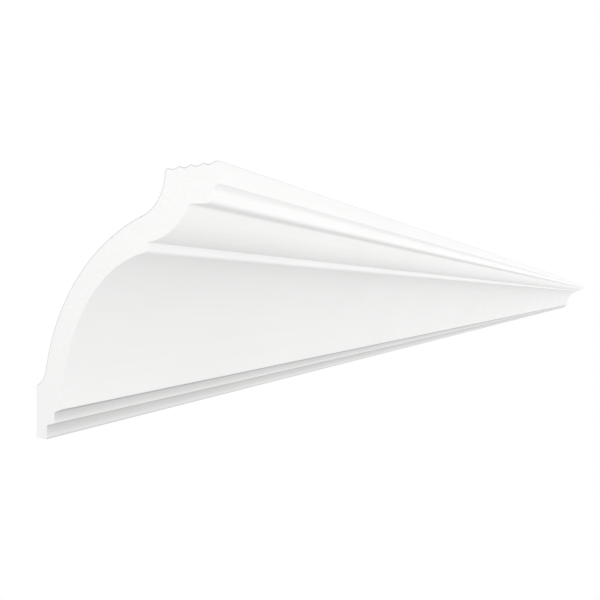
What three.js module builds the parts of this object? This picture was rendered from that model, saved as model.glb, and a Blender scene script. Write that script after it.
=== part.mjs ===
// Crown moulding length, the foam strip that covers the angle between a wall and a ceiling.
// It is one extruded piece with the same section all along, cut square at both ends.
// Millimetres, +Z up. +X runs along the length, +Y points at the wall, the room side faces -Y.
// The origin is the middle of the wall pad, the flat face that is glued to the wall.

import * as THREE from 'three';

// Driving dimensions of the whole strip
const LENGTH = 2000;
const HEIGHT = 75; // up the wall, from the bottom edge to the ceiling
const PROJECTION = 67.5; // along the ceiling, from the wall to the front edge

// In the section, OUT is a distance from the wall and UP a height above the bottom edge.

// Foot: two small steps under the cove, each with an underside that slopes down to the wall
const LOWER_STEP_OUT = 4.7;
const LOWER_STEP_TOP = 4.2;
const UPPER_STEP_OUT = 8;
const UPPER_STEP_BOTTOM = 5.1;
const UPPER_STEP_TOP = 8.35;
const COVE_FOOT_UP = 9.45;

// Cove: part of an ellipse, upright at its foot and level at its top
const COVE_FOOT_OUT = 11.1;
const COVE_TOP_UP = 53.95;
const COVE_HALF_WIDTH = 36.6;
const COVE_HALF_HEIGHT = 45.9;

// Crown: a narrow fillet, a round ovolo, and two flat bands with a small hollow between them
const FILLET_OUT = 44.1;
const OVOLO_RADIUS = 17.2;
const OVOLO_CENTRE_OUT = 43.35;
const OVOLO_CENTRE_UP = 73.5;
const OVOLO_TOP_UP = 65.25;
const LOWER_BAND_OUT = 65.2;
const LOWER_BAND_BOTTOM = 64.75;
const LOWER_BAND_TOP = 67.85;
const UPPER_BAND_BOTTOM = 69.5;
const HOLLOW_RADIUS = 5;

// Ceiling pad: glue grooves between narrow flat crests, and a bevelled back edge
const GROOVE_COUNT = 4;
const GROOVE_PITCH = 3.8;
const GROOVE_DEPTH = 0.52;
const CREST_WIDTH = 0.4;
const FRONT_CREST_WIDTH = 1.35;
const CEILING_PAD_BACK_OUT = 50.2;
const BACK_BEVEL_HEIGHT = 0.95;

// Back: an arch that leaves a shell of even thickness behind the cove
const WALL_PAD_HEIGHT = 15.75;
const ARCH_RADIUS = 56.3;
const ARCH_CENTRE_OUT = 59.45;
const ARCH_CENTRE_UP = 9.7;
const CEILING_PAD_FILLET_RADIUS = 11;
const WALL_PAD_FILLET_RADIUS = 6.2;

// Fineness of the solid
const ARC_DIVISIONS = 6; // each arc is drawn with twice as many straight pieces
const LENGTH_STEPS = 8;

const FOAM_WHITE = 0xf4f4f2;

function drawFoot(section) {
  section.moveTo(0, 0);
  section.lineTo(LOWER_STEP_OUT, 0);
  section.lineTo(LOWER_STEP_OUT, LOWER_STEP_TOP);
  section.lineTo(UPPER_STEP_OUT, UPPER_STEP_BOTTOM);
  section.lineTo(UPPER_STEP_OUT, UPPER_STEP_TOP);
}

function drawCove(section) {
  const centreOut = COVE_FOOT_OUT + COVE_HALF_WIDTH;
  const centreUp = COVE_TOP_UP - COVE_HALF_HEIGHT;
  const footAngle = Math.PI - Math.asin((COVE_FOOT_UP - centreUp) / COVE_HALF_HEIGHT);
  const topAngle = Math.acos((FILLET_OUT - centreOut) / COVE_HALF_WIDTH);
  section.absellipse(
    centreOut, centreUp, COVE_HALF_WIDTH, COVE_HALF_HEIGHT, footAngle, topAngle, true, 0,
  );
}

// A shallow arc from the top of the lower band to the bottom of the upper one
function drawHollow(section) {
  const run = PROJECTION - LOWER_BAND_OUT;
  const rise = UPPER_BAND_BOTTOM - LOWER_BAND_TOP;
  const slope = Math.atan2(rise, run);
  const halfChord = Math.hypot(run, rise) / 2;
  const halfAngle = Math.asin(halfChord / HOLLOW_RADIUS);
  const offset = HOLLOW_RADIUS * Math.cos(halfAngle);
  const centreOut = LOWER_BAND_OUT + run / 2 + offset * Math.sin(slope);
  const centreUp = LOWER_BAND_TOP + rise / 2 - offset * Math.cos(slope);
  const middle = slope + Math.PI / 2;
  section.absarc(centreOut, centreUp, HOLLOW_RADIUS, middle + halfAngle, middle - halfAngle, true);
}

function drawCrown(section) {
  const ovoloStart = -Math.acos((FILLET_OUT - OVOLO_CENTRE_OUT) / OVOLO_RADIUS);
  const ovoloEnd = Math.asin((OVOLO_TOP_UP - OVOLO_CENTRE_UP) / OVOLO_RADIUS);
  section.absarc(OVOLO_CENTRE_OUT, OVOLO_CENTRE_UP, OVOLO_RADIUS, ovoloStart, ovoloEnd, false);

  section.lineTo(LOWER_BAND_OUT, LOWER_BAND_BOTTOM);
  drawHollow(section);
  section.lineTo(PROJECTION, HEIGHT);
}

function drawCeilingPad(section) {
  const halfWidth = (GROOVE_PITCH - CREST_WIDTH) / 2;
  const radius = (halfWidth ** 2 + GROOVE_DEPTH ** 2) / (2 * GROOVE_DEPTH);
  const centreUp = HEIGHT - GROOVE_DEPTH + radius;
  const rimAngle = Math.asin((centreUp - HEIGHT) / radius);
  for (let groove = 0; groove < GROOVE_COUNT; groove += 1) {
    const centreOut = PROJECTION - FRONT_CREST_WIDTH - halfWidth - groove * GROOVE_PITCH;
    section.absarc(centreOut, centreUp, radius, -rimAngle, rimAngle - Math.PI, true);
  }
  const lastRim = PROJECTION - FRONT_CREST_WIDTH - GROOVE_COUNT * GROOVE_PITCH;
  section.lineTo(lastRim, HEIGHT);
  section.lineTo(CEILING_PAD_BACK_OUT, HEIGHT - BACK_BEVEL_HEIGHT);
}

function drawBack(section) {
  // The fillet behind the ceiling pad touches the arch and ends upright at the pad's back.
  const filletOut = CEILING_PAD_BACK_OUT - CEILING_PAD_FILLET_RADIUS;
  const across = ARCH_CENTRE_OUT - filletOut;
  const reach = ARCH_RADIUS + CEILING_PAD_FILLET_RADIUS;
  const filletUp = ARCH_CENTRE_UP + Math.sqrt(reach ** 2 - across ** 2);
  const topTouch = Math.atan2(ARCH_CENTRE_UP - filletUp, across);
  section.absarc(filletOut, filletUp, CEILING_PAD_FILLET_RADIUS, 0, topTouch, true);

  // The fillet above the wall pad touches the arch too, and ends at the pad's top edge. Its
  // centre, the arch's centre and that edge make a triangle with three known sides.
  const rise = WALL_PAD_HEIGHT - ARCH_CENTRE_UP;
  const toEdge = Math.hypot(ARCH_CENTRE_OUT, rise);
  const toCentre = ARCH_RADIUS + WALL_PAD_FILLET_RADIUS;
  const corner = Math.acos(
    (toEdge ** 2 + toCentre ** 2 - WALL_PAD_FILLET_RADIUS ** 2) / (2 * toEdge * toCentre),
  );
  const footTouch = Math.atan2(rise, -ARCH_CENTRE_OUT) - corner;
  const padFilletOut = ARCH_CENTRE_OUT + toCentre * Math.cos(footTouch);
  const padFilletUp = ARCH_CENTRE_UP + toCentre * Math.sin(footTouch);
  const edgeAngle = Math.atan2(WALL_PAD_HEIGHT - padFilletUp, -padFilletOut);
  section.absarc(
    ARCH_CENTRE_OUT, ARCH_CENTRE_UP, ARCH_RADIUS, topTouch + Math.PI, footTouch, false,
  );
  section.absarc(
    padFilletOut, padFilletUp, WALL_PAD_FILLET_RADIUS, footTouch - Math.PI, edgeAngle, true,
  );
}

function makeSection() {
  const section = new THREE.Shape();
  drawFoot(section);
  drawCove(section);
  drawCrown(section);
  drawCeilingPad(section);
  drawBack(section);
  section.closePath();
  return section;
}

function makeMoulding() {
  const geometry = new THREE.ExtrudeGeometry(makeSection(), {
    depth: LENGTH,
    steps: LENGTH_STEPS,
    curveSegments: ARC_DIVISIONS,
    bevelEnabled: false,
  });
  // Turns the section upright: its OUT axis to -Y, its UP axis to +Z, the length to -X.
  const upright = new THREE.Matrix4().makeBasis(
    new THREE.Vector3(0, -1, 0),
    new THREE.Vector3(0, 0, 1),
    new THREE.Vector3(-1, 0, 0),
  );
  geometry.applyMatrix4(upright);
  const foam = new THREE.MeshStandardMaterial({ color: FOAM_WHITE, roughness: 0.75, metalness: 0 });
  const moulding = new THREE.Mesh(geometry, foam);
  moulding.name = 'crown_moulding';
  moulding.position.set(LENGTH / 2, 0, -WALL_PAD_HEIGHT / 2);
  return moulding;
}

const part = new THREE.Group();
part.add(makeMoulding());

export default part;
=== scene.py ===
import math
import random

import bmesh
import bpy
from mathutils import Matrix, Vector, noise
from mathutils.bvhtree import BVHTree
from mathutils.geometry import delaunay_2d_cdt


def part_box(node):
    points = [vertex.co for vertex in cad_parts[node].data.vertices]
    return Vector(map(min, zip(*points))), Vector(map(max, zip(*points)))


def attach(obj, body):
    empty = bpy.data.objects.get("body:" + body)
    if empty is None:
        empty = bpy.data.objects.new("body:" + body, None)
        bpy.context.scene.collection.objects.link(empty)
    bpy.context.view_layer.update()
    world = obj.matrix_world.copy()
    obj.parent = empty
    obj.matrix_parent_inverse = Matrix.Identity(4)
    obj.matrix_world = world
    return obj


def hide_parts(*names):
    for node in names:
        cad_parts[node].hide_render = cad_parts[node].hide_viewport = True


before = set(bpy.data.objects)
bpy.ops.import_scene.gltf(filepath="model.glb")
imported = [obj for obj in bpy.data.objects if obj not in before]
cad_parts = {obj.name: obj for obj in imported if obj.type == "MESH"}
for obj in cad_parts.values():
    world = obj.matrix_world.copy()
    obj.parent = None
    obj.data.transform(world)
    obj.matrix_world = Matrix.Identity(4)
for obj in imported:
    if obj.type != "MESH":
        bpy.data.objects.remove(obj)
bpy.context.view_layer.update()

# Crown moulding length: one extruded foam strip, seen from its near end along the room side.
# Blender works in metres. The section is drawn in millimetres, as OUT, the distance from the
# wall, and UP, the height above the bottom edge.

MM = 0.001
NODE = "crown_moulding"
low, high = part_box(NODE)

# Section sizes, the same as the solid's
LENGTH = (high.x - low.x) / MM
HEIGHT = (high.z - low.z) / MM
PROJECTION = (high.y - low.y) / MM
LOWER_STEP_OUT = 4.7
LOWER_STEP_TOP = 4.2
UPPER_STEP_OUT = 8.0
UPPER_STEP_BOTTOM = 5.1
UPPER_STEP_TOP = 8.35
COVE_FOOT_UP = 9.45
COVE_FOOT_OUT = 11.1
COVE_TOP_UP = 53.95
COVE_HALF_WIDTH = 36.6
COVE_HALF_HEIGHT = 45.9
FILLET_OUT = 44.1
OVOLO_RADIUS = 17.2
OVOLO_CENTRE_OUT = 43.35
OVOLO_CENTRE_UP = 73.5
OVOLO_TOP_UP = 65.25
LOWER_BAND_OUT = 65.2
LOWER_BAND_BOTTOM = 64.75
LOWER_BAND_TOP = 67.85
UPPER_BAND_BOTTOM = 69.5
HOLLOW_RADIUS = 5.0
GROOVE_COUNT = 4
GROOVE_PITCH = 3.8
GROOVE_DEPTH = 0.52
CREST_WIDTH = 0.4
FRONT_CREST_WIDTH = 1.35
CEILING_PAD_BACK_OUT = 50.2
BACK_BEVEL_HEIGHT = 0.95
WALL_PAD_HEIGHT = 15.75
ARCH_RADIUS = 56.3
ARCH_CENTRE_OUT = 59.45
ARCH_CENTRE_UP = 9.7
CEILING_PAD_FILLET_RADIUS = 11.0
WALL_PAD_FILLET_RADIUS = 6.2

# How far a rounded edge eats into the runs on each side of it
SMOOTH_JOIN = 0.0
GROOVE_EASE = 0.07
INNER_EASE = 0.2
STEP_EASE = 0.15
EDGE_EASE = 0.28
HOLLOW_EASE = 0.9
FILLET_EASE = 1.4
CREASE_EASE = 0.8
BAND_EASE = 2.1
FOOT_EASE = 0.8
EASE_STEPS = 5

# Fineness of the mesh
ARC_LONG_STEPS = 56
ARC_STEPS = 24
ARC_SHORT_STEPS = 10
LONGEST_STEP = 1.2
RING_SPACING = 12.5
CUT_GRID = 1.6
CUT_GRID_CLEARANCE = 0.6
CUT_FILL_INSIDE = 1  # keeps the triangles inside the outline
CUT_FILL_TOLERANCE = 1e-6

# Relief of the foam: the skin rolls a little along its length, the cut ends are open cells
SKIN_ROLL = 0.02
SKIN_ROLL_LENGTH = 45.0
CUT_RELIEF = 0.05
CUT_RELIEF_SIZE = 1.3
SEED = 7

# Shelter: how far, and how finely, each point of the foot looks for a wall in front of it, and
# how much more an underside counts; it darkens the foam's colour there as painted shade. Two
# edges are given painted shade of their own: the bottom one, darker as it turns down, and the
# ceiling pad's front, a set dark line. The front one begins where the outline has turned that
# much to the ceiling.
SHELTER_REACH = 9.0
SHELTER_RAYS = 64
SHELTER_LIFT = 0.02
UNDERSIDE_WEIGHT = 4
EDGE_SHELTER = 0.45
EDGE_TURN = 0.3

# Rim: painted shade along the edge of a cut end, on its back and its ceiling side but not its
# wall pad
RIM_WIDTH = 0.35
RIM_CLEARANCE = 0.3
RIM_TURN = 0.3

# Sheet: the flat layout of the surface, with the skin in rows and the two ends beside them
SHEET_ROWS = 3
SHEET_GAP = 4.0
SHEET_NAME = "OFBake"

# Place of the cut ends' material on the piece. The skin's is the first.
CUT_MATERIAL = 1


def arc(centre, radii, start, end, steps):
    """Points along part of an ellipse, from one angle to another."""
    points = []
    for step in range(steps + 1):
        angle = start + (end - start) * step / steps
        points.append(Vector((
            centre[0] + radii[0] * math.cos(angle),
            centre[1] + radii[1] * math.sin(angle),
        )))
    return points


def run(*corners):
    """Straight lines through a few corners."""
    return [Vector(corner) for corner in corners]


# Runs of the outline, each listed with the ease of the edge at its end


def foot_runs():
    lower = run((LOWER_STEP_OUT, 0), (LOWER_STEP_OUT, LOWER_STEP_TOP))
    upper = run((UPPER_STEP_OUT, UPPER_STEP_BOTTOM), (UPPER_STEP_OUT, UPPER_STEP_TOP))
    cove_foot = (COVE_FOOT_OUT, COVE_FOOT_UP)
    return [
        (run((0, 0), lower[0]), FOOT_EASE),
        (lower, INNER_EASE),
        (run(lower[-1], upper[0]), STEP_EASE),
        (upper, INNER_EASE),
        (run(upper[-1], cove_foot), EDGE_EASE),
    ]


def cove_runs():
    centre = (COVE_FOOT_OUT + COVE_HALF_WIDTH, COVE_TOP_UP - COVE_HALF_HEIGHT)
    radii = (COVE_HALF_WIDTH, COVE_HALF_HEIGHT)
    start = math.pi - math.asin((COVE_FOOT_UP - centre[1]) / COVE_HALF_HEIGHT)
    end = math.acos((FILLET_OUT - centre[0]) / COVE_HALF_WIDTH)
    return [(arc(centre, radii, start, end, ARC_LONG_STEPS), FILLET_EASE)]


def hollow():
    """The shallow arc between the two bands of the crown."""
    across = PROJECTION - LOWER_BAND_OUT
    rise = UPPER_BAND_BOTTOM - LOWER_BAND_TOP
    slope = math.atan2(rise, across)
    half_angle = math.asin(math.hypot(across, rise) / 2 / HOLLOW_RADIUS)
    offset = HOLLOW_RADIUS * math.cos(half_angle)
    centre = (
        LOWER_BAND_OUT + across / 2 + offset * math.sin(slope),
        LOWER_BAND_TOP + rise / 2 - offset * math.cos(slope),
    )
    middle = slope + math.pi / 2
    radii = (HOLLOW_RADIUS, HOLLOW_RADIUS)
    return arc(centre, radii, middle + half_angle, middle - half_angle, ARC_SHORT_STEPS)


def crown_runs(cove_end):
    centre = (OVOLO_CENTRE_OUT, OVOLO_CENTRE_UP)
    radii = (OVOLO_RADIUS, OVOLO_RADIUS)
    start = -math.acos((FILLET_OUT - OVOLO_CENTRE_OUT) / OVOLO_RADIUS)
    end = math.asin((OVOLO_TOP_UP - OVOLO_CENTRE_UP) / OVOLO_RADIUS)
    ovolo = arc(centre, radii, start, end, ARC_STEPS)
    band_edge = (LOWER_BAND_OUT, LOWER_BAND_BOTTOM)
    dip = hollow()
    return [
        (run(cove_end, ovolo[0]), INNER_EASE),
        (ovolo, CREASE_EASE),
        (run(ovolo[-1], band_edge), BAND_EASE),
        (run(band_edge, dip[0]), HOLLOW_EASE),
        (dip, EDGE_EASE),
        (run(dip[-1], (PROJECTION, HEIGHT)), EDGE_EASE),
    ]


def ceiling_pad_runs():
    half_width = (GROOVE_PITCH - CREST_WIDTH) / 2
    radius = (half_width ** 2 + GROOVE_DEPTH ** 2) / (2 * GROOVE_DEPTH)
    centre_up = HEIGHT - GROOVE_DEPTH + radius
    rim_angle = math.asin((centre_up - HEIGHT) / radius)
    runs = []
    rim = (PROJECTION, HEIGHT)
    for groove in range(GROOVE_COUNT):
        centre_out = PROJECTION - FRONT_CREST_WIDTH - half_width - groove * GROOVE_PITCH
        dip = arc((centre_out, centre_up), (radius, radius), -rim_angle, rim_angle - math.pi,
                  ARC_SHORT_STEPS)
        runs.append((run(rim, dip[0]), GROOVE_EASE))
        runs.append((dip, GROOVE_EASE))
        rim = dip[-1]
    last_rim = (PROJECTION - FRONT_CREST_WIDTH - GROOVE_COUNT * GROOVE_PITCH, HEIGHT)
    back_edge = (CEILING_PAD_BACK_OUT, HEIGHT - BACK_BEVEL_HEIGHT)
    runs.append((run(rim, last_rim), GROOVE_EASE))
    runs.append((run(last_rim, back_edge), EDGE_EASE))
    return runs


def back_runs():
    fillet_radius = CEILING_PAD_FILLET_RADIUS
    fillet_out = CEILING_PAD_BACK_OUT - fillet_radius
    across = ARCH_CENTRE_OUT - fillet_out
    fillet_up = ARCH_CENTRE_UP + math.sqrt((ARCH_RADIUS + fillet_radius) ** 2 - across ** 2)
    top_touch = math.atan2(ARCH_CENTRE_UP - fillet_up, across)
    fillet = arc((fillet_out, fillet_up), (fillet_radius, fillet_radius), 0, top_touch,
                 ARC_STEPS)

    # The lower fillet's centre, the arch's centre and the pad's top edge make a triangle with
    # three known sides.
    pad_radius = WALL_PAD_FILLET_RADIUS
    rise = WALL_PAD_HEIGHT - ARCH_CENTRE_UP
    to_edge = math.hypot(ARCH_CENTRE_OUT, rise)
    to_centre = ARCH_RADIUS + pad_radius
    corner = math.acos((to_edge ** 2 + to_centre ** 2 - pad_radius ** 2)
                       / (2 * to_edge * to_centre))
    foot_touch = math.atan2(rise, -ARCH_CENTRE_OUT) - corner
    pad_out = ARCH_CENTRE_OUT + to_centre * math.cos(foot_touch)
    pad_up = ARCH_CENTRE_UP + to_centre * math.sin(foot_touch)
    edge_angle = math.atan2(WALL_PAD_HEIGHT - pad_up, -pad_out)
    arch = arc((ARCH_CENTRE_OUT, ARCH_CENTRE_UP), (ARCH_RADIUS, ARCH_RADIUS),
               top_touch + math.pi, foot_touch, ARC_LONG_STEPS)
    pad = arc((pad_out, pad_up), (pad_radius, pad_radius), foot_touch - math.pi, edge_angle,
              ARC_STEPS)

    back_edge = (CEILING_PAD_BACK_OUT, HEIGHT - BACK_BEVEL_HEIGHT)
    return [
        (run(back_edge) + fillet, SMOOTH_JOIN),
        (arch, SMOOTH_JOIN),
        (pad, EDGE_EASE),
        (run(pad[-1], (0, 0)), FOOT_EASE),
    ]


def shorten(points, distance):
    """The run with that much cut off its end."""
    points = list(points)
    while distance > 0:
        step = (points[-1] - points[-2]).length
        if step > distance:
            points[-1] = points[-1].lerp(points[-2], distance / step)
            return points
        points.pop()
        distance -= step
    return points


def ease(start, corner, end):
    """A rounded edge from start to end, drawn towards the corner, without its two ends."""
    points = []
    for step in range(1, EASE_STEPS):
        share = step / EASE_STEPS
        points.append(start.lerp(corner, share).lerp(corner.lerp(end, share), share))
    return points


def fill_in(outline):
    """The outline with its long straight steps split up."""
    filled = []
    for index, point in enumerate(outline):
        before = outline[index - 1]
        parts = math.ceil((point - before).length / LONGEST_STEP)
        filled += [before.lerp(point, part / parts) for part in range(1, parts + 1)]
    return filled


def section_outline():
    """The closed outline, counter-clockwise in OUT and UP, with every edge rounded."""
    cove = cove_runs()
    cove_points, _ = cove[-1]
    runs = foot_runs() + cove + crown_runs(cove_points[-1]) + ceiling_pad_runs() + back_runs()
    outline = []
    for index, (points, ending) in enumerate(runs):
        begun = runs[index - 1][1]
        following = runs[(index + 1) % len(runs)][0]
        kept = shorten(points, ending)
        kept = shorten(kept[::-1], begun)[::-1]
        outline += kept
        if ending == SMOOTH_JOIN:
            outline.pop()
        else:
            onward = shorten(following[::-1], ending)[-1]
            outline += ease(kept[-1], points[-1], onward)
    return fill_in(outline)


def outward(outline):
    """The direction off the surface at each point of the outline."""
    directions = []
    for index in range(len(outline)):
        along = outline[(index + 1) % len(outline)] - outline[index - 1]
        directions.append(Vector((along.y, -along.x)).normalized())
    return directions


def blocked_share(section, point, direction):
    """How much of the view off a point is taken up by walls, near ones more than far ones."""
    start = (point + direction * SHELTER_LIFT).resized(3).zxy
    blocked = 0
    for ray in range(SHELTER_RAYS):
        turn = math.asin((2 * ray + 1) / SHELTER_RAYS - 1)
        aim = (Matrix.Rotation(turn, 2) @ direction).resized(3).zxy
        distance = section.ray_cast(start, aim, SHELTER_REACH)[3]
        if distance is not None:
            blocked += 1 - distance / SHELTER_REACH
    return blocked / SHELTER_RAYS


def shelter_along(outline):
    """How closed in each point of the foot is, with a set value on two edges, else 0.

    The value is painted into the skin's colour as shade. Undersides count for more. The two edges
    are the bottom one and the ceiling pad's front, where it paints a dark line.
    """
    count = len(outline)
    corners = [Vector((side, point.x, point.y)) for side in (-1, 1) for point in outline]
    walls = [(index, (index + 1) % count, (index + 1) % count + count, index + count)
             for index in range(count)]
    section = BVHTree.FromPolygons(corners, walls)
    shelter = []
    for point, direction in zip(outline, outward(outline)):
        closed_in = 0
        if point.x < COVE_FOOT_OUT and point.y < COVE_FOOT_UP:
            weight = 1 - UNDERSIDE_WEIGHT * direction.y
            closed_in = blocked_share(section, point, direction) * weight
        # Painted shade on the bottom edge, darker as it turns down, and a painted dark line on
        # the ceiling pad's front edge
        if point.y < FOOT_EASE:
            closed_in = max(closed_in, -direction.y * EDGE_SHELTER)
        if point.x > PROJECTION - EDGE_EASE and direction.y > EDGE_TURN:
            closed_in = EDGE_SHELTER
        shelter.append(closed_in)
    return shelter


def in_row(along, point):
    """A point of the section, at a place along the strip, in the shared frame."""
    return Vector((along, high.y - point.x * MM, low.z + point.y * MM))


def skin_roll(along, point):
    """How far the skin stands off the drawn section, in millimetres, never outward."""
    place = Vector((along / MM, point.x, point.y)) / SKIN_ROLL_LENGTH
    return -SKIN_ROLL * (1 + noise.noise(place))


def add_rings(mesh, outline):
    """Copies of the outline all along the strip, with the shelter for the painted shade kept at
    each vertex.
    """
    directions = outward(outline)
    shelter = shelter_along(outline)
    kept = mesh.verts.layers.float["shelter"]
    steps = SHEET_ROWS * round(LENGTH / RING_SPACING / SHEET_ROWS)
    rings = []
    for step in range(steps + 1):
        along = low.x + LENGTH * MM * step / steps
        ring = []
        for point, direction, closed_in in zip(outline, directions, shelter):
            moved = point + direction * skin_roll(along, point)
            vert = mesh.verts.new(in_row(along, moved))
            vert[kept] = closed_in
            ring.append(vert)
        rings.append(ring)
    return rings


def add_skin(mesh, outline, rings):
    """The long faces, laid out in rows on the sheet."""
    sheet = mesh.loops.layers.uv.new(SHEET_NAME)
    girth = [0]
    for index, point in enumerate(outline):
        girth.append(girth[-1] + (point - outline[index - 1]).length)
    row_steps = (len(rings) - 1) // SHEET_ROWS
    row_height = girth[-1] + SHEET_GAP
    side = max(SHEET_ROWS * row_height, LENGTH / SHEET_ROWS + PROJECTION + 2 * SHEET_GAP)
    spacing = LENGTH / (len(rings) - 1)
    for step, (ring, following) in enumerate(zip(rings, rings[1:])):
        row, place = divmod(step, row_steps)
        left = place * spacing / side
        right = left + spacing / side
        for index in range(len(ring)):
            before = index - 1
            face = mesh.faces.new(
                (ring[before], ring[index], following[index], following[before]))
            face.smooth = True
            bottom = (row * row_height + girth[index]) / side
            top = (row * row_height + girth[index + 1]) / side
            corners = ((left, bottom), (left, top), (right, top), (right, bottom))
            for loop, corner in zip(face.loops, corners):
                loop[sheet].uv = corner
    return sheet, side


def rim_along(outline):
    """1 at the points of the outline with painted shade on the rim, 0 at the others."""
    rims = []
    for edge, direction in zip(outline, outward(outline)):
        off_the_wall = edge.x > EDGE_EASE
        rims.append(1 if off_the_wall and direction.y - direction.x > RIM_TURN else 0)
    return rims


def rim_points(outline, rims):
    """Points a rim's width inside the part of the outline with painted shade."""
    points = []
    for edge, direction, shaded_rim in zip(outline, outward(outline), rims):
        point = edge - direction * RIM_WIDTH
        if shaded_rim and min((point - other).length for other in outline) > RIM_CLEARANCE:
            points.append(point)
    return points


def inside_points(outline):
    """Points spread over the section, clear of its outline, for the relief of a cut end."""
    draw = random.Random(SEED)
    count_out = int(PROJECTION / CUT_GRID)
    count_up = int(HEIGHT / CUT_GRID)
    points = []
    for column in range(count_out):
        for row in range(count_up):
            point = Vector((
                (column + draw.random()) * CUT_GRID,
                (row + draw.random()) * CUT_GRID,
            ))
            if min((point - edge).length for edge in outline) > CUT_GRID_CLEARANCE:
                points.append(point)
    return points


def add_cut_end(mesh, ring, outline, inner, along, inward, sheet, side):
    """A square cut across the strip, with the low relief of cut foam cells."""
    # The rim's painted shade, kept at each vertex of the outline
    rim = mesh.verts.layers.float["rim"]
    for vert, shaded_rim in zip(ring, rim_along(outline)):
        vert[rim] = shaded_rim
    count = len(outline)
    sheet_left = LENGTH / SHEET_ROWS + SHEET_GAP
    sheet_bottom = 0 if inward > 0 else HEIGHT + SHEET_GAP
    flat = outline + inner
    placed, _, faces, sources, _, _ = delaunay_2d_cdt(
        flat, [], [list(range(count))], CUT_FILL_INSIDE, CUT_FILL_TOLERANCE)
    verts = []
    for point, source in zip(placed, sources):
        if source and source[0] < count:
            verts.append(ring[source[0]])
            continue
        cell = noise.noise(Vector((point.x, point.y, along)) / CUT_RELIEF_SIZE)
        depth = CUT_RELIEF * MM * (1 + cell) / 2
        verts.append(mesh.verts.new(in_row(along + inward * depth, point)))
    for face in faces:
        corners = [verts[index] for index in face]
        if inward < 0:
            corners.reverse()
        made = mesh.faces.new(corners)
        made.smooth = True
        made.material_index = CUT_MATERIAL
        for loop in made.loops:
            out = (high.y - loop.vert.co.y) / MM
            up = (loop.vert.co.z - low.z) / MM
            loop[sheet].uv = ((sheet_left + out) / side, (sheet_bottom + up) / side)
    for index in range(count):
        edge = mesh.edges.get((ring[index - 1], ring[index]))
        edge.smooth = False


def make_moulding(skin, cut):
    """The strip: rings along its length, the skin between them and a cut at each end."""
    outline = section_outline()
    inner = rim_points(outline, rim_along(outline)) + inside_points(outline)
    mesh = bmesh.new()
    mesh.verts.layers.float.new("shelter")
    mesh.verts.layers.float.new("rim")
    rings = add_rings(mesh, outline)
    sheet, side = add_skin(mesh, outline, rings)
    add_cut_end(mesh, rings[0], outline, inner, low.x, 1, sheet, side)
    add_cut_end(mesh, rings[-1], outline, inner, high.x, -1, sheet, side)
    bmesh.ops.recalc_face_normals(mesh, faces=mesh.faces)
    data = bpy.data.meshes.new("moulding")
    mesh.to_mesh(data)
    mesh.free()
    data.materials.append(skin)
    data.materials.append(cut)
    piece = bpy.data.objects.new("moulding", data)
    bpy.context.scene.collection.objects.link(piece)
    even = piece.modifiers.new("even_shading", "WEIGHTED_NORMAL")
    even.keep_sharp = True
    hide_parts(NODE)
    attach(piece, "root")


# Foam: tones are linear, sizes of the patterns are in millimetres
FOAM_LIGHT = 0.77
FOAM_DEEP = 0.743
BLUE_SHARE = 0.997
NOISE_LOW = 0.35
NOISE_HIGH = 0.65
# Tone of the painted shade on a cut end's rim
RIM_SHADE_TONE = 0.62
DIE_LINE_WIDTH = 0.9
DIE_LINE_LENGTH = 110.0
DIE_LINE_HEIGHT = 0.02
DIE_LINE_DETAIL = 2
PEBBLE_SIZE = 1.1
PEBBLE_HEIGHT = 0.03
PEBBLE_DETAIL = 3
CLOUD_SIZE = 60.0
CLOUD_DETAIL = 3
CLOUD_SHARE = 0.5
CELL_SIZE = 0.7
CELL_WALL_HEIGHT = 0.06
SKIN_ROUGHNESS = (0.55, 0.72)
CUT_ROUGHNESS = (0.82, 0.96)
BUMP_STRENGTH = 0.5

# Painted shade: the share of the foam's tone that is left, by stops of shelter and share
PAINTED_SHADE_TONES = ((0.02, 1.0), (0.1, 0.82), (0.2, 0.79), (0.3, 0.765), (0.45, 0.68), (0.75, 0.61))


def new_material(name):
    """A new material, with its node tree and its shader."""
    material = bpy.data.materials.new(name)
    material.use_nodes = True
    return material, material.node_tree, material.node_tree.nodes["Principled BSDF"]


def grey(tone):
    """A grey, a very little warmer than neutral."""
    return (tone, tone, tone * BLUE_SHARE, 1)


def tone_ramp(tree, value, stops):
    """Turns a value into a grey, by stops of value and tone."""
    ramp = tree.nodes.new("ShaderNodeValToRGB")
    elements = ramp.color_ramp.elements
    while len(elements) < len(stops):
        elements.new(1)
    for element, (place, tone) in zip(elements, stops):
        element.position = place
        element.color = grey(tone)
    tree.links.new(value, ramp.inputs["Fac"])
    return ramp.outputs["Color"]


def noise_of(tree, place, size, detail, stretch=1):
    """Soft noise with features of that size, drawn out along the strip if asked."""
    scaled = tree.nodes.new("ShaderNodeMapping")
    along = 1 / (size * stretch * MM)
    across = 1 / (size * MM)
    scaled.inputs["Scale"].default_value = (along, across, across)
    tree.links.new(place, scaled.inputs["Vector"])
    texture = tree.nodes.new("ShaderNodeTexNoise")
    texture.inputs["Scale"].default_value = 1
    texture.inputs["Detail"].default_value = detail
    tree.links.new(scaled.outputs["Vector"], texture.inputs["Vector"])
    return texture.outputs["Fac"]


def cells_of(tree, place, size, feature):
    """Foam cells of that size."""
    texture = tree.nodes.new("ShaderNodeTexVoronoi")
    texture.feature = feature
    texture.inputs["Scale"].default_value = 1 / (size * MM)
    tree.links.new(place, texture.inputs["Vector"])
    return texture


def spread(tree, value, limits):
    """The middle of a noise's range, spread over new limits."""
    ranged = tree.nodes.new("ShaderNodeMapRange")
    ranged.inputs["From Min"].default_value = NOISE_LOW
    ranged.inputs["From Max"].default_value = NOISE_HIGH
    ranged.inputs["To Min"].default_value = limits[0]
    ranged.inputs["To Max"].default_value = limits[1]
    tree.links.new(value, ranged.inputs["Value"])
    return ranged.outputs["Result"]


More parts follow.
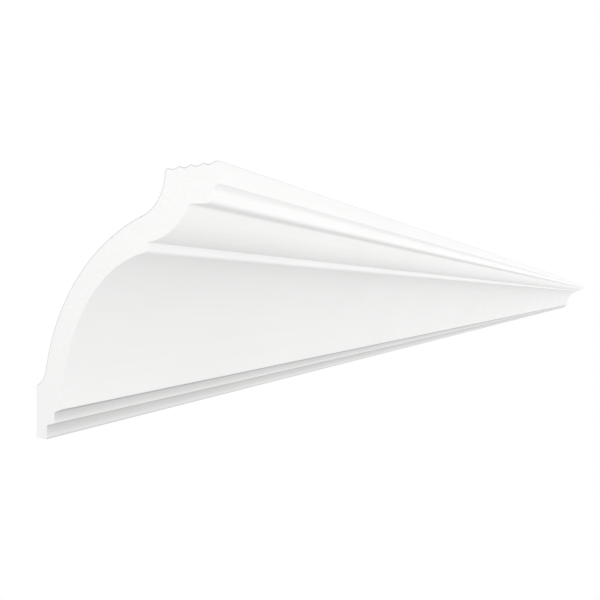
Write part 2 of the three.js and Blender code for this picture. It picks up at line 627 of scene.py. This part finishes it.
def mixed(tree, kind, share, first, second):
    """Two colours put together, with that share of the second."""
    mix = tree.nodes.new("ShaderNodeMixRGB")
    mix.blend_type = kind
    mix.inputs["Fac"].default_value = share
    tree.links.new(first, mix.inputs["Color1"])
    tree.links.new(second, mix.inputs["Color2"])
    return mix.outputs["Color"]


def bumped(tree, height, amount, under=None):
    """A bump of that many millimetres, over another one if given."""
    bump = tree.nodes.new("ShaderNodeBump")
    bump.inputs["Strength"].default_value = BUMP_STRENGTH
    bump.inputs["Distance"].default_value = amount * MM
    tree.links.new(height, bump.inputs["Height"])
    if under:
        tree.links.new(under, bump.inputs["Normal"])
    return bump.outputs["Normal"]


def foam_skin():
    """Smooth skin: faint lines from the die, a fine pebble, painted shade in the steps and on
    edges.
    """
    material, tree, shader = new_material("foam_skin")
    place = tree.nodes.new("ShaderNodeTexCoord").outputs["Object"]
    stretch = DIE_LINE_LENGTH / DIE_LINE_WIDTH
    die_lines = noise_of(tree, place, DIE_LINE_WIDTH, DIE_LINE_DETAIL, stretch)
    pebble = noise_of(tree, place, PEBBLE_SIZE, PEBBLE_DETAIL)
    cloud = noise_of(tree, place, CLOUD_SIZE, CLOUD_DETAIL)

    tones = mixed(tree, "MIX", CLOUD_SHARE, die_lines, cloud)
    foam = tone_ramp(tree, tones, ((NOISE_LOW, FOAM_DEEP), (NOISE_HIGH, FOAM_LIGHT)))
    # Painted shade: the shelter darkens the foam's tone in the foot's steps, on undersides and
    # along two edges
    shelter = tree.nodes.new("ShaderNodeAttribute")
    shelter.attribute_name = "shelter"
    painted_shade = tone_ramp(tree, shelter.outputs["Fac"], PAINTED_SHADE_TONES)
    tree.links.new(mixed(tree, "MULTIPLY", 1, foam, painted_shade), shader.inputs["Base Color"])

    tree.links.new(spread(tree, die_lines, SKIN_ROUGHNESS), shader.inputs["Roughness"])
    drawn = bumped(tree, die_lines, DIE_LINE_HEIGHT)
    tree.links.new(bumped(tree, pebble, PEBBLE_HEIGHT, drawn), shader.inputs["Normal"])
    return material


def foam_cut():
    """Cut ends: small cells with tones of their own, between proud walls, and painted shade on
    the rim.
    """
    material, tree, shader = new_material("foam_cut")
    place = tree.nodes.new("ShaderNodeTexCoord").outputs["Object"]
    cells = cells_of(tree, place, CELL_SIZE, "F1")
    walls = cells_of(tree, place, CELL_SIZE, "DISTANCE_TO_EDGE")
    pebble = noise_of(tree, place, PEBBLE_SIZE, PEBBLE_DETAIL)

    foam = tone_ramp(tree, cells.outputs["Color"], ((0, FOAM_DEEP), (1, FOAM_LIGHT)))
    # Painted shade: the rim darkens the cut end's tone along its back and ceiling side
    rim = tree.nodes.new("ShaderNodeAttribute")
    rim.attribute_name = "rim"
    shaded_rim = tone_ramp(tree, rim.outputs["Fac"], ((0, 1), (1, RIM_SHADE_TONE)))
    tree.links.new(mixed(tree, "MULTIPLY", 1, foam, shaded_rim), shader.inputs["Base Color"])
    tree.links.new(spread(tree, pebble, CUT_ROUGHNESS), shader.inputs["Roughness"])

    # The distance to the walls is greatest in the middle of a cell. Turned round, it is a height.
    hollows = tree.nodes.new("ShaderNodeMath")
    hollows.operation = "MULTIPLY"
    hollows.inputs[1].default_value = -1
    tree.links.new(walls.outputs["Distance"], hollows.inputs[0])
    hollowed = bumped(tree, hollows.outputs["Value"], CELL_WALL_HEIGHT)
    tree.links.new(hollowed, shader.inputs["Normal"])
    return material


# Camera: level, close to the near end, looking along the room side. It stands that many
# millimetres from the near end, the wall and the bottom edge, and is turned from the length to
# the wall by that many degrees.
IMAGE_SIZE = 600
FOCAL_LENGTH_PX = 570.0
HORIZON_ABOVE_MIDDLE_PX = 5.34
SENSOR_WIDTH = 36.0
CAMERA_BEFORE_END = 110.8
CAMERA_FROM_WALL = 150.8
CAMERA_UP = 42.65
CAMERA_TURN = 28.885
CAMERA_NEAREST = 10.0


def make_camera():
    data = bpy.data.cameras.new("camera")
    data.sensor_width = SENSOR_WIDTH
    data.lens = SENSOR_WIDTH * FOCAL_LENGTH_PX / IMAGE_SIZE
    data.shift_y = -HORIZON_ABOVE_MIDDLE_PX / IMAGE_SIZE
    data.clip_start = CAMERA_NEAREST * MM
    camera = bpy.data.objects.new("camera", data)
    camera.location = (
        low.x - CAMERA_BEFORE_END * MM,
        high.y - CAMERA_FROM_WALL * MM,
        low.z + CAMERA_UP * MM,
    )
    camera.rotation_euler = (math.pi / 2, 0, math.radians(CAMERA_TURN) - math.pi / 2)
    bpy.context.scene.collection.objects.link(camera)
    bpy.context.scene.camera = camera


# Light: a plain white room, a long soft lamp before the strip and a small one off its near end.
# Lamps are placed round the middle of the section, in millimetres and degrees upward.
ROOM_LIGHT = 1.0
ROOM_WHITE = (1, 1, 1, 1)
SECTION_MIDDLE_OUT = 30.0
SECTION_MIDDLE_UP = 37.9
FRONT_LAMP_DISTANCE = 120.0
FRONT_LAMP_RISE = -2.0
FRONT_LAMP_LENGTH = 4000.0
FRONT_LAMP_WIDTH = 32.0
FRONT_LAMP_WATTS = 0.77
END_LAMP_DISTANCE = 300.0
END_LAMP_RISE = 40.0
END_LAMP_SIZE = 120.0
END_LAMP_WATTS = 0.18

# Floor: a room's height below, fading out before it could show as an edge
FLOOR_DROP = 2400.0
FLOOR_RADIUS = 3200.0
FLOOR_FULL_RADIUS = 1400.0
FLOOR_SIDES = 96
FLOOR_TONE = 0.7
FLOOR_ROUGHNESS = 1.0


def make_world():
    world = bpy.data.worlds.new("studio")
    bpy.context.scene.world = world
    world.use_nodes = True
    room = world.node_tree.nodes["Background"]
    room.inputs["Color"].default_value = ROOM_WHITE
    room.inputs["Strength"].default_value = ROOM_LIGHT


def make_lamp(name, place, aim, length, width, watts):
    """A soft rectangular lamp, out of the camera's sight."""
    data = bpy.data.lights.new(name, "AREA")
    data.shape = "RECTANGLE"
    data.size = length * MM
    data.size_y = width * MM
    data.energy = watts
    lamp = bpy.data.objects.new(name, data)
    lamp.location = place
    lamp.rotation_euler = (aim - place).to_track_quat("-Z", "Y").to_euler()
    lamp.visible_camera = False
    bpy.context.scene.collection.objects.link(lamp)


def make_lamps():
    middle = Vector((SECTION_MIDDLE_OUT, SECTION_MIDDLE_UP))
    aim = in_row((low.x + high.x) / 2, middle)
    rise = math.radians(FRONT_LAMP_RISE)
    reach = Vector((0, -math.cos(rise), math.sin(rise))) * FRONT_LAMP_DISTANCE * MM
    make_lamp("front_lamp", aim + reach, aim,
              FRONT_LAMP_LENGTH, FRONT_LAMP_WIDTH, FRONT_LAMP_WATTS)
    aim = in_row(low.x, middle)
    rise = math.radians(END_LAMP_RISE)
    reach = Vector((-math.cos(rise), 0, math.sin(rise))) * END_LAMP_DISTANCE * MM
    make_lamp("end_lamp", aim + reach, aim,
              END_LAMP_SIZE, END_LAMP_SIZE, END_LAMP_WATTS)


def floor_material():
    material, tree, shader = new_material("floor")
    shader.inputs["Base Color"].default_value = grey(FLOOR_TONE)
    shader.inputs["Roughness"].default_value = FLOOR_ROUGHNESS
    coordinates = tree.nodes.new("ShaderNodeTexCoord")
    distance = tree.nodes.new("ShaderNodeVectorMath")
    distance.operation = "LENGTH"
    tree.links.new(coordinates.outputs["Object"], distance.inputs[0])
    fade = tree.nodes.new("ShaderNodeMapRange")
    fade.interpolation_type = "SMOOTHSTEP"
    fade.inputs["From Min"].default_value = FLOOR_FULL_RADIUS * MM
    fade.inputs["From Max"].default_value = FLOOR_RADIUS * MM
    fade.inputs["To Min"].default_value = 1
    fade.inputs["To Max"].default_value = 0
    tree.links.new(distance.outputs["Value"], fade.inputs["Value"])
    tree.links.new(fade.outputs["Result"], shader.inputs["Alpha"])
    return material


def make_floor():
    mesh = bmesh.new()
    bmesh.ops.create_circle(mesh, cap_ends=True, segments=FLOOR_SIDES, radius=FLOOR_RADIUS * MM)
    data = bpy.data.meshes.new("floor")
    mesh.to_mesh(data)
    mesh.free()
    data.materials.append(floor_material())
    floor = bpy.data.objects.new("floor", data)
    floor.location = (0, 0, low.z - FLOOR_DROP * MM)
    bpy.context.scene.collection.objects.link(floor)


make_camera()
make_moulding(foam_skin(), foam_cut())
make_lamps()
make_world()
make_floor()
bpy.context.scene.view_settings.view_transform = "Standard"
